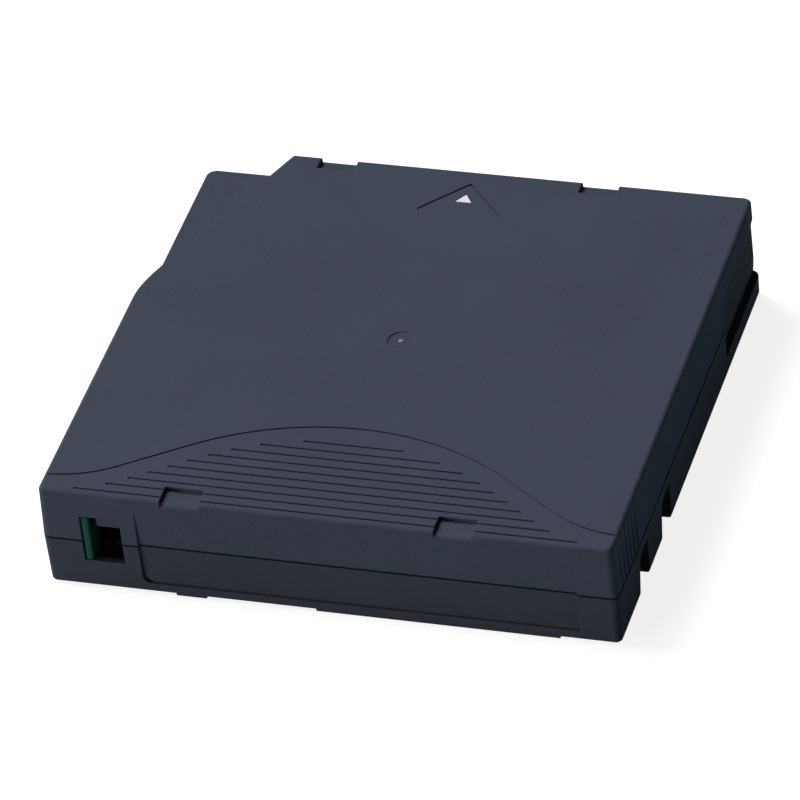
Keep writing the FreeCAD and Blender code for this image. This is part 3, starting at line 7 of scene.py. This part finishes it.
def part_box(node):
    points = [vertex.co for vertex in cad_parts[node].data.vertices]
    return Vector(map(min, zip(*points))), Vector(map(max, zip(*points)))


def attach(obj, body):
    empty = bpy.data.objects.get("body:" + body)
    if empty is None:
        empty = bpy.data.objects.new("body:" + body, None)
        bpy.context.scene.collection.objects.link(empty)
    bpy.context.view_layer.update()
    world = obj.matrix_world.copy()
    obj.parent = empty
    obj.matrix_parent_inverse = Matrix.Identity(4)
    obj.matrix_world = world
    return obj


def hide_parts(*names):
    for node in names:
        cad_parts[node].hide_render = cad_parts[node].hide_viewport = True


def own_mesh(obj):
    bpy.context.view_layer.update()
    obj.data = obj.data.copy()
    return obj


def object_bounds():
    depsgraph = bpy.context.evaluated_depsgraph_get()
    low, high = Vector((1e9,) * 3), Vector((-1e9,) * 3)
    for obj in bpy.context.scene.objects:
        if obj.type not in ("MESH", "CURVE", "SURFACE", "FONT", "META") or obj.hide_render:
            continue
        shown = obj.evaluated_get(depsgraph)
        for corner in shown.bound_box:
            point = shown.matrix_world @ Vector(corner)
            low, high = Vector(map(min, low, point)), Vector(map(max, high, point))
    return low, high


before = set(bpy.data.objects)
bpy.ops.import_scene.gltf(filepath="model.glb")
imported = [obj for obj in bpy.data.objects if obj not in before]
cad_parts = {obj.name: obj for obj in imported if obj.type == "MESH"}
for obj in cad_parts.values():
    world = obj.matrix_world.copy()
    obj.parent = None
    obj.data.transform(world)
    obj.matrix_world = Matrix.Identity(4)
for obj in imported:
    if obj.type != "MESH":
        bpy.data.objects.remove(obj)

MM = 0.001
WHITE = (1.0, 1.0, 1.0, 1.0)
cad_low, cad_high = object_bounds()
centre = (cad_low + cad_high) / 2

# ---------------------------------------------------------------- viewpoint
# The camera stands behind the cartridge, to the right and above. It aims past the centre by AIM_LEFT
# and AIM_DOWN, measured across its own view.
AZIMUTH = math.radians(20.44)
ELEVATION = math.radians(38.30)
ROLL = math.radians(-7.07)
DISTANCE = 1.3205
SENSOR = 36.0
LENS = 330.868
AIM_LEFT = 1.24 * MM
AIM_DOWN = 2.30 * MM

# ---------------------------------------------------------------- node helpers
# cosines between a face's own normal and its rounded one, on flat places and on an edge lightened as
# wear and painted highlight
FLAT_COSINE, EDGE_COSINE = 0.995, 0.80


class Nodes:
    """A material's node tree with short calls."""

    def __init__(self, name):
        self.material = bpy.data.materials.new(name)
        self.material.use_nodes = True
        self.tree = self.material.node_tree
        self.tree.nodes.clear()
        self.output = self.new("ShaderNodeOutputMaterial")
        self.shader = self.new("ShaderNodeBsdfPrincipled")
        self.tree.links.new(self.shader.outputs["BSDF"], self.output.inputs["Surface"])
        self.place = self.new("ShaderNodeTexCoord").outputs["Object"]

    def new(self, kind, **settings):
        node = self.tree.nodes.new(kind)
        for key, setting in settings.items():
            setattr(node, key, setting)
        return node

    def feed(self, socket, source):
        """Link an output, or write a plain value, into an input."""
        if isinstance(source, bpy.types.NodeSocket):
            self.tree.links.new(source, socket)
        else:
            socket.default_value = source

    def noise(self, scale, detail=2.0, roughness=0.5, place=None):
        """Cloudy pattern of 0 to 1; scale counts its features in a metre."""
        node = self.new("ShaderNodeTexNoise")
        self.feed(node.inputs["Vector"], place or self.place)
        node.inputs["Scale"].default_value = scale
        node.inputs["Detail"].default_value = detail
        node.inputs["Roughness"].default_value = roughness
        return node.outputs["Fac"]

    def stretched(self, x, y, z):
        """Places scaled along each axis, for patterns drawn out in one direction."""
        node = self.new("ShaderNodeMapping")
        self.feed(node.inputs["Vector"], self.place)
        node.inputs["Scale"].default_value = (x, y, z)
        return node.outputs["Vector"]

    def ramp(self, source, low, high, start=0.0, end=1.0):
        """Map a value range to another, held at both ends."""
        node = self.new("ShaderNodeMapRange")
        self.feed(node.inputs["Value"], source)
        limits = (("From Min", low), ("From Max", high), ("To Min", start), ("To Max", end))
        for name, setting in limits:
            node.inputs[name].default_value = setting
        return node.outputs["Result"]

    def math(self, operation, a, b):
        node = self.new("ShaderNodeMath", operation=operation)
        self.feed(node.inputs[0], a)
        self.feed(node.inputs[1], b)
        return node.outputs["Value"]

    def mix(self, factor, a, b):
        """Blend two colours; inputs 6 and 7 and output 2 are the node's colour sockets."""
        node = self.new("ShaderNodeMix", data_type="RGBA")
        self.feed(node.inputs[0], factor)
        self.feed(node.inputs[6], a)
        self.feed(node.inputs[7], b)
        return node.outputs[2]

    def bump(self, height, strength, distance, normal=None):
        node = self.new("ShaderNodeBump")
        self.feed(node.inputs["Height"], height)
        node.inputs["Strength"].default_value = strength
        node.inputs["Distance"].default_value = distance
        if normal is not None:
            self.feed(node.inputs["Normal"], normal)
        return node.outputs["Normal"]

    def soft_edge(self, radius):
        """Rounded shading normal at sharp edges."""
        node = self.new("ShaderNodeBevel", samples=6)
        node.inputs["Radius"].default_value = radius
        return node.outputs["Normal"]

    def edge_mask(self, rounded):
        """Grow from 0 on flat places to 1 on edges."""
        geometry = self.new("ShaderNodeNewGeometry")
        dot = self.new("ShaderNodeVectorMath", operation="DOT_PRODUCT")
        self.feed(dot.inputs[0], rounded)
        self.feed(dot.inputs[1], geometry.outputs["Normal"])
        return self.ramp(dot.outputs["Value"], FLAT_COSINE, EDGE_COSINE)

    def set(self, **values):
        """Feed the shader's inputs, named with underscores for spaces."""
        for name, source in values.items():
            self.feed(self.shader.inputs[name.replace("_", " ")], source)


def rgb(red, green, blue):
    """Turn an sRGB colour of 0 to 255 into a linear one."""
    def linear(value):
        value /= 255.0
        return value / 12.92 if value <= 0.04045 else ((value + 0.055) / 1.055) ** 2.4
    return (linear(red), linear(green), linear(blue), 1.0)


def times(colour, factor):
    """Lighten or darken a colour."""
    return (colour[0] * factor, colour[1] * factor, colour[2] * factor, 1.0)


# ---------------------------------------------------------------- materials
# edges lightened towards a paler colour: partly wear, partly a painted highlight
EDGE_WEAR_AND_HIGHLIGHT_SHARE = 0.15          # how far the case's edges go towards their lightened colour
MATT_SPECULAR = 0.012      # nearly none: the white room would turn the dark plastic grey


def case_plastic(name, colour, roughness=0.78, grain=1.0):
    """Moulded polycarbonate with a fine eroded texture, faint flow clouds, and edges lightened as wear
    and as a painted highlight.
    """
    nodes = Nodes(name)
    clouds = nodes.noise(38.0, 3.0, 0.55)
    fine = nodes.noise(2600.0, 3.0, 0.6)
    coarse = nodes.noise(700.0, 2.0, 0.5)
    tinted = nodes.mix(nodes.ramp(clouds, 0.3, 0.7), times(colour, 0.93), times(colour, 1.07))
    speckled = nodes.mix(nodes.ramp(fine, 0.35, 0.75), tinted, times(colour, 1.22))
    rounded = nodes.soft_edge(0.25 * MM)
    # painted highlight and wear: the edges are lightened in the base colour
    worn_and_highlit = nodes.math("MULTIPLY", nodes.edge_mask(rounded), EDGE_WEAR_AND_HIGHLIGHT_SHARE)
    nodes.set(Base_Color=nodes.mix(worn_and_highlit, speckled, times(colour, 2.4)))
    patches = nodes.math("ADD", nodes.math("MULTIPLY", coarse, 0.5),
                         nodes.math("MULTIPLY", clouds, 0.5))
    nodes.set(Roughness=nodes.ramp(patches, 0.3, 0.7, roughness - 0.05, roughness + 0.06))
    height = nodes.math("ADD", fine, nodes.math("MULTIPLY", coarse, 0.7))
    nodes.set(Normal=nodes.bump(height, 0.35 * grain, 0.02 * MM, rounded))
    nodes.shader.inputs["Specular IOR Level"].default_value = MATT_SPECULAR
    return nodes.material


def glossy_plastic(name, colour, roughness=0.3, specular=0.5):
    """Smooth moulding with faint flow lines."""
    nodes = Nodes(name)
    flow = nodes.noise(90.0, 3.0, 0.6, nodes.stretched(1.0, 0.25, 1.0))
    grain = nodes.noise(1800.0, 2.0, 0.5)
    rounded = nodes.soft_edge(0.12 * MM)
    # painted highlight and wear: the edges are lightened in the base colour
    worn_and_highlit = nodes.math("MULTIPLY", nodes.edge_mask(rounded), 0.3)
    tinted = nodes.mix(nodes.ramp(flow, 0.3, 0.7), times(colour, 0.92), times(colour, 1.08))
    nodes.set(Base_Color=nodes.mix(worn_and_highlit, tinted, times(colour, 1.5)))
    nodes.set(Roughness=nodes.ramp(grain, 0.2, 0.8, roughness - 0.05, roughness + 0.08))
    nodes.set(Normal=nodes.bump(grain, 0.15, 0.02 * MM, rounded))
    nodes.shader.inputs["Specular IOR Level"].default_value = specular
    return nodes.material


def turned_metal(name, colour, roughness=0.32):
    """Metal with concentric turning marks round the reel's axis."""
    nodes = Nodes(name)
    rings = nodes.new("ShaderNodeTexWave", wave_type="RINGS", rings_direction="Z")
    nodes.feed(rings.inputs["Vector"], nodes.place)
    rings.inputs["Scale"].default_value = 900.0
    rings.inputs["Distortion"].default_value = 1.5
    rings.inputs["Detail"].default_value = 2.0
    smudge = nodes.noise(160.0, 4.0, 0.6)
    nodes.set(Base_Color=nodes.mix(nodes.ramp(smudge, 0.3, 0.7), times(colour, 0.86), colour))
    nodes.set(Roughness=nodes.ramp(smudge, 0.25, 0.75, roughness - 0.06, roughness + 0.12))
    nodes.set(Normal=nodes.bump(rings.outputs["Fac"], 0.2, 0.02 * MM, nodes.soft_edge(0.08 * MM)))
    nodes.shader.inputs["Metallic"].default_value = 1.0
    return nodes.material


def drawn_metal(name, colour, roughness=0.28):
    """Wire or strip with fine drawing marks."""
    nodes = Nodes(name)
    streaks = nodes.noise(2200.0, 3.0, 0.6, nodes.stretched(1.0, 0.15, 1.0))
    nodes.set(Base_Color=nodes.mix(nodes.ramp(streaks, 0.3, 0.7), times(colour, 0.82), colour))
    nodes.set(Roughness=nodes.ramp(streaks, 0.25, 0.75, roughness - 0.05, roughness + 0.1))
    nodes.set(Normal=nodes.bump(streaks, 0.25, 0.01 * MM))
    nodes.shader.inputs["Metallic"].default_value = 1.0
    return nodes.material


def wound_tape(name, colour):
    """Edges of the turns of the tape: fine rings with the slight steps of winding."""
    nodes = Nodes(name)
    rings = nodes.new("ShaderNodeTexWave", wave_type="RINGS", rings_direction="Z")
    nodes.feed(rings.inputs["Vector"], nodes.place)
    rings.inputs["Scale"].default_value = 1500.0
    rings.inputs["Distortion"].default_value = 0.6
    bands = nodes.noise(260.0, 3.0, 0.6)
    turn = nodes.ramp(rings.outputs["Fac"], 0.2, 0.8)
    nodes.set(Base_Color=nodes.mix(turn, times(colour, 0.8), times(colour, 1.25)))
    nodes.set(Roughness=nodes.ramp(bands, 0.3, 0.7, 0.2, 0.34))
    nodes.set(Normal=nodes.bump(rings.outputs["Fac"], 0.3, 0.01 * MM))
    return nodes.material


def circuit_board(name, colour):
    """Solder mask with the turns of an antenna showing through."""
    nodes = Nodes(name)
    tracks = nodes.new("ShaderNodeTexWave", wave_type="BANDS", bands_direction="X")
    nodes.feed(tracks.inputs["Vector"], nodes.place)
    tracks.inputs["Scale"].default_value = 420.0
    lines = nodes.ramp(tracks.outputs["Fac"], 0.55, 0.7)
    nodes.set(Base_Color=nodes.mix(lines, colour, times(colour, 2.1)))
    nodes.set(Roughness=nodes.ramp(nodes.noise(700.0), 0.3, 0.7, 0.3, 0.42))
    nodes.set(Normal=nodes.bump(lines, 0.4, 0.03 * MM))
    return nodes.material


def painted_mark(name, colour):
    """Matt pad-printed ink with a slightly broken cover."""
    nodes = Nodes(name)
    cover = nodes.noise(3500.0, 3.0, 0.6)
    nodes.set(Base_Color=nodes.mix(nodes.ramp(cover, 0.3, 0.65), times(colour, 0.86), colour))
    nodes.set(Roughness=nodes.ramp(cover, 0.3, 0.7, 0.55, 0.7))
    nodes.set(Normal=nodes.bump(cover, 0.2, 0.01 * MM))
    return nodes.material


UPPER = case_plastic("upper_case_plastic", rgb(65, 70, 84))
# painted shade: the lower case takes a darker colour than the upper, for the darker lower half of the
# rear face
LOWER_WITH_PAINTED_SHADE = case_plastic("lower_case_plastic_painted_shade", rgb(60, 64, 74))
DOOR = case_plastic("door_plastic", rgb(38, 44, 51), 0.7, 0.6)
# painted shade: the slider's green is darkened for the shade inside its window
GREEN_WITH_PAINTED_SHADE = glossy_plastic("slider_plastic_painted_shade", rgb(12, 62, 57), 0.5, 0.1)
REEL = glossy_plastic("reel_plastic", rgb(205, 207, 205), 0.38)
BRAKE = glossy_plastic("brake_plastic", rgb(224, 221, 210), 0.34)
STEEL = turned_metal("turned_steel", rgb(190, 190, 188))
ALLOY = turned_metal("hub_alloy", rgb(222, 222, 224), 0.26)
SPRING = drawn_metal("spring_wire", rgb(186, 186, 184))
TAPE = wound_tape("wound_tape", rgb(52, 44, 40))
BOARD = circuit_board("board_laminate", rgb(24, 92, 52))
CHIP = glossy_plastic("chip_resin", rgb(26, 26, 28), 0.5)

LOOKS = {
    "upper_case": UPPER, "lower_case": LOWER_WITH_PAINTED_SHADE, "case_screws": STEEL, "access_door": DOOR,
    "door_spring": SPRING, "write_protect_tab": GREEN_WITH_PAINTED_SHADE, "reel_hub": REEL, "reel_upper_flange": REEL,
    "hub_ring": ALLOY, "drive_plate": STEEL, "tape_pack": TAPE, "release_pad": BRAKE,
    "brake_button": BRAKE, "brake_spring": SPRING, "leader_pin": STEEL, "leader_clip": BRAKE,
    "leader_tape": TAPE, "pin_retaining_spring": SPRING, "memory_board": BOARD, "memory_chip": CHIP,
}
for node_name, look in LOOKS.items():
    for material_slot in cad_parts[node_name].material_slots:
        material_slot.material = look

# ---------------------------------------------------------------- pieces that Blender adds
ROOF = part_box("upper_case")[1].z
ARROW_FLOOR = ROOF - 0.15 * MM      # bottom of the CAD's shallow triangle
STUB_BASE = ROOF - 0.145 * MM       # just above the bottom of the CAD's round mark


def add_piece(name, vertices, faces, material, body):
    """Add a mesh that rides on a body."""
    mesh = bpy.data.meshes.new(name)
    mesh.from_pydata(vertices, [], faces)
    mesh.update()
    piece = bpy.data.objects.new(name, mesh)
    bpy.context.collection.objects.link(piece)
    piece.data.materials.append(material)
    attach(piece, body)
    return piece


def insertion_arrow():
    """Ink in the shallow triangle behind the chevron."""
    apex, half, rise = 43.6 * MM, 1.6 * MM, 2.45 * MM
    margin, lift, thickness = 0.08 * MM, 0.01 * MM, 0.1 * MM
    foot = apex - rise + margin
    corners = [(-half + margin, foot), (half - margin, foot), (0.0, apex - 1.5 * margin)]
    levels = (ARROW_FLOOR + lift, ARROW_FLOOR + thickness)
    vertices = [(x, y, z) for z in levels for x, y in corners]
    faces = [(2, 1, 0), (3, 4, 5), (0, 1, 4, 3), (1, 2, 5, 4), (2, 0, 3, 5)]
    ink = painted_mark("arrow_ink", rgb(232, 234, 236))
    add_piece("insertion_arrow", vertices, faces, ink, "case")


def gate_vestige():
    """Torn stub of the moulding gate, in the middle of the round mark on the roof."""
    rings = ((0.50, 0.00), (0.43, 0.07), (0.31, 0.12), (0.14, 0.08))   # radius and height in mm
    sides = 18
    ragged_out, ragged_up = 0.10, 0.15
    vertices = []
    for number, (radius, height) in enumerate(rings):
        for side in range(sides):
            angle = 2 * math.pi * side / sides
            reach = radius * (1 + ragged_out * math.sin(3 * angle + 1.3 * number)) * MM
            lift = height * (1 + ragged_up * math.sin(2 * angle + number)) * MM
            vertices.append((reach * math.cos(angle), reach * math.sin(angle), STUB_BASE + lift))
    last = (len(rings) - 1) * sides
    faces = [tuple(reversed(range(sides))), tuple(range(last, last + sides))]
    for lower in range(0, last, sides):
        upper = lower + sides
        for side in range(sides):
            following = (side + 1) % sides
            faces.append((lower + side, lower + following, upper + following, upper + side))
    scar = glossy_plastic("gate_scar", rgb(118, 124, 138), 0.45, 0.3)
    piece = add_piece("gate_vestige", vertices, faces, scar, "case")
    piece.data.shade_smooth()


def coil_spring(name, node, lengthwise, wire, turns, held_high):
    """Round-wire compression spring in the place of the CAD coil.

    lengthwise is 1 or 2, for a coil along Y or Z. wire is the wire's radius. held_high is not used: it
    only sets an anchor that nothing reads.
    """
    low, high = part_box(node)
    middle = (Vector(low) + Vector(high)) / 2
    length = high[lengthwise] - low[lengthwise]
    across = [(lengthwise + 1) % 3, (lengthwise + 2) % 3]
    mean_radius = (high[across[0]] - low[across[0]]) / 2 - wire
    steps_a_turn, sides, closed_turns = 20, 10, 1.0
    steps = int(turns * steps_a_turn)
    closed_rise = 2 * wire * closed_turns
    open_rise = length - 2 * wire - 2 * closed_rise
    vertices = []
    for step in range(steps + 1):
        turn = step / steps_a_turn
        angle = 2 * math.pi * turn
        if turn < closed_turns:
            level = 2 * wire * turn
        elif turn > turns - closed_turns:
            level = length - 2 * wire - 2 * wire * (turns - turn)
        else:
            level = closed_rise + open_rise * (turn - closed_turns) / (turns - 2 * closed_turns)
        for side in range(sides):
            around = 2 * math.pi * side / sides
            reach = mean_radius + wire * math.cos(around)
            point = [0.0, 0.0, 0.0]
            point[across[0]] = middle[across[0]] + reach * math.cos(angle)
            point[across[1]] = middle[across[1]] + reach * math.sin(angle)
            point[lengthwise] = low[lengthwise] + wire + level + wire * math.sin(around)
            vertices.append(point)
    last = steps * sides
    faces = [tuple(range(sides)), tuple(reversed(range(last, last + sides)))]
    for near in range(0, last, sides):
        far = near + sides
        for side in range(sides):
            following = (side + 1) % sides
            faces.append((near + side, far + side, far + following, near + following))
    piece = add_piece(name, vertices, faces, SPRING, "case")
    piece.data.shade_smooth()
    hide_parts(node)
    anchor = list(middle)
    anchor[lengthwise] = (high if held_high else low)[lengthwise]
    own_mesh(piece)


insertion_arrow()
gate_vestige()
coil_spring("door_coil", "door_spring", 1, 0.22 * MM, 22, False)
coil_spring("brake_coil", "brake_spring", 2, 0.40 * MM, 4.5, True)

# ---------------------------------------------------------------- floor, light and camera
FLOOR_SIZE = 12.0
FLOOR_DROP = 0.05 * MM                     # clear of the feet
FLOOR_BOUNCE = (0.32, 0.50, 0.51, 1.0)     # what the floor throws back at the sides
FLOOR_PALE = (0.44, 0.44, 0.44, 1.0)
FLOOR_PALER = (0.47, 0.47, 0.47, 1.0)
FLOOR_GLOW = 0.85


def seen_rays(tree):
    """1 for rays that show a surface, directly or in metal or glass, and 0 for diffuse light."""
    rays = tree.nodes.new("ShaderNodeLightPath")
    total = rays.outputs["Is Camera Ray"]
    for kind in ("Is Glossy Ray", "Is Transmission Ray"):
        larger = tree.nodes.new("ShaderNodeMath")
        larger.operation = "MAXIMUM"
        tree.links.new(total, larger.inputs[0])
        tree.links.new(rays.outputs[kind], larger.inputs[1])
        total = larger.outputs["Value"]
    return total


def floor_material():
    """Pale floor: bright where it is seen, darker where it throws light back at the sides."""
    nodes = Nodes("studio_floor")
    seen = seen_rays(nodes.tree)
    cloud = nodes.noise(3.0, 2.0, 0.5)
    pale = nodes.mix(cloud, FLOOR_PALE, FLOOR_PALER)
    nodes.set(Base_Color=nodes.mix(seen, FLOOR_BOUNCE, pale))
    nodes.set(Roughness=0.9)
    nodes.shader.inputs["Specular IOR Level"].default_value = 0.0
    nodes.shader.inputs["Emission Color"].default_value = WHITE
    nodes.set(Emission_Strength=nodes.math("MULTIPLY", seen, FLOOR_GLOW))
    return nodes.material


bpy.ops.mesh.primitive_plane_add(size=FLOOR_SIZE, location=(0.0, 0.0, cad_low.z - FLOOR_DROP))
floor = bpy.context.object
floor.name = "studio_floor"
floor.data.materials.append(floor_material())

world = bpy.data.worlds.new("studio")
bpy.context.scene.world = world
world.use_nodes = True
sky = world.node_tree
sky.nodes.clear()


def background(colour, strength):
    shade = sky.nodes.new("ShaderNodeBackground")
    shade.inputs["Color"].default_value = colour
    shade.inputs["Strength"].default_value = strength
    return shade.outputs["Background"]


# a faint cool fill for the diffuse light, and a white backdrop for the eye
choice = sky.nodes.new("ShaderNodeMixShader")
end = sky.nodes.new("ShaderNodeOutputWorld")
sky.links.new(seen_rays(sky), choice.inputs["Fac"])
sky.links.new(background((0.75, 0.93, 1.0, 1.0), 0.03), choice.inputs[1])
sky.links.new(background(WHITE, 1.0), choice.inputs[2])
sky.links.new(choice.outputs["Shader"], end.inputs["Surface"])


def area_light(name, place, size, power, colour):
    """Rectangular lamp that faces the cartridge."""
    data = bpy.data.lights.new(name, "AREA")
    data.shape = "RECTANGLE"
    data.size, data.size_y = size
    data.energy = power
    data.color = colour
    lamp = bpy.data.objects.new(name, data)
    bpy.context.collection.objects.link(lamp)
    lamp.location = place
    lamp.rotation_mode = "QUATERNION"
    lamp.rotation_quaternion = (Vector(centre) - Vector(place)).to_track_quat("-Z", "Y")


# broad key from high at the front left, and a low warm fill towards the rear face
area_light("key", (-1.7, 0.6, 2.4), (1.8, 1.8), 104.0, (1.0, 1.0, 1.0))
area_light("rear_fill", (-1.00, -0.95, 0.18), (0.9, 0.3), 11.0, (1.0, 0.88, 0.80))

forward = Vector((-math.sin(AZIMUTH) * math.cos(ELEVATION),
                  math.cos(AZIMUTH) * math.cos(ELEVATION),
                  -math.sin(ELEVATION)))
level = forward.to_track_quat("-Z", "Y")
rotation = level @ Quaternion((0.0, 0.0, 1.0), ROLL)
right = rotation @ Vector((1.0, 0.0, 0.0))
up = rotation @ Vector((0.0, 1.0, 0.0))
camera_data = bpy.data.cameras.new("camera")
camera_data.sensor_width = SENSOR
camera_data.lens = LENS
camera_data.clip_start, camera_data.clip_end = 0.05, 20.0
camera = bpy.data.objects.new("camera", camera_data)
bpy.context.collection.objects.link(camera)
camera.rotation_mode = "QUATERNION"
camera.rotation_quaternion = rotation
camera.location = centre - right * AIM_LEFT - up * AIM_DOWN - forward * DISTANCE
bpy.context.scene.camera = camera
bpy.context.scene.view_settings.view_transform = "Standard"
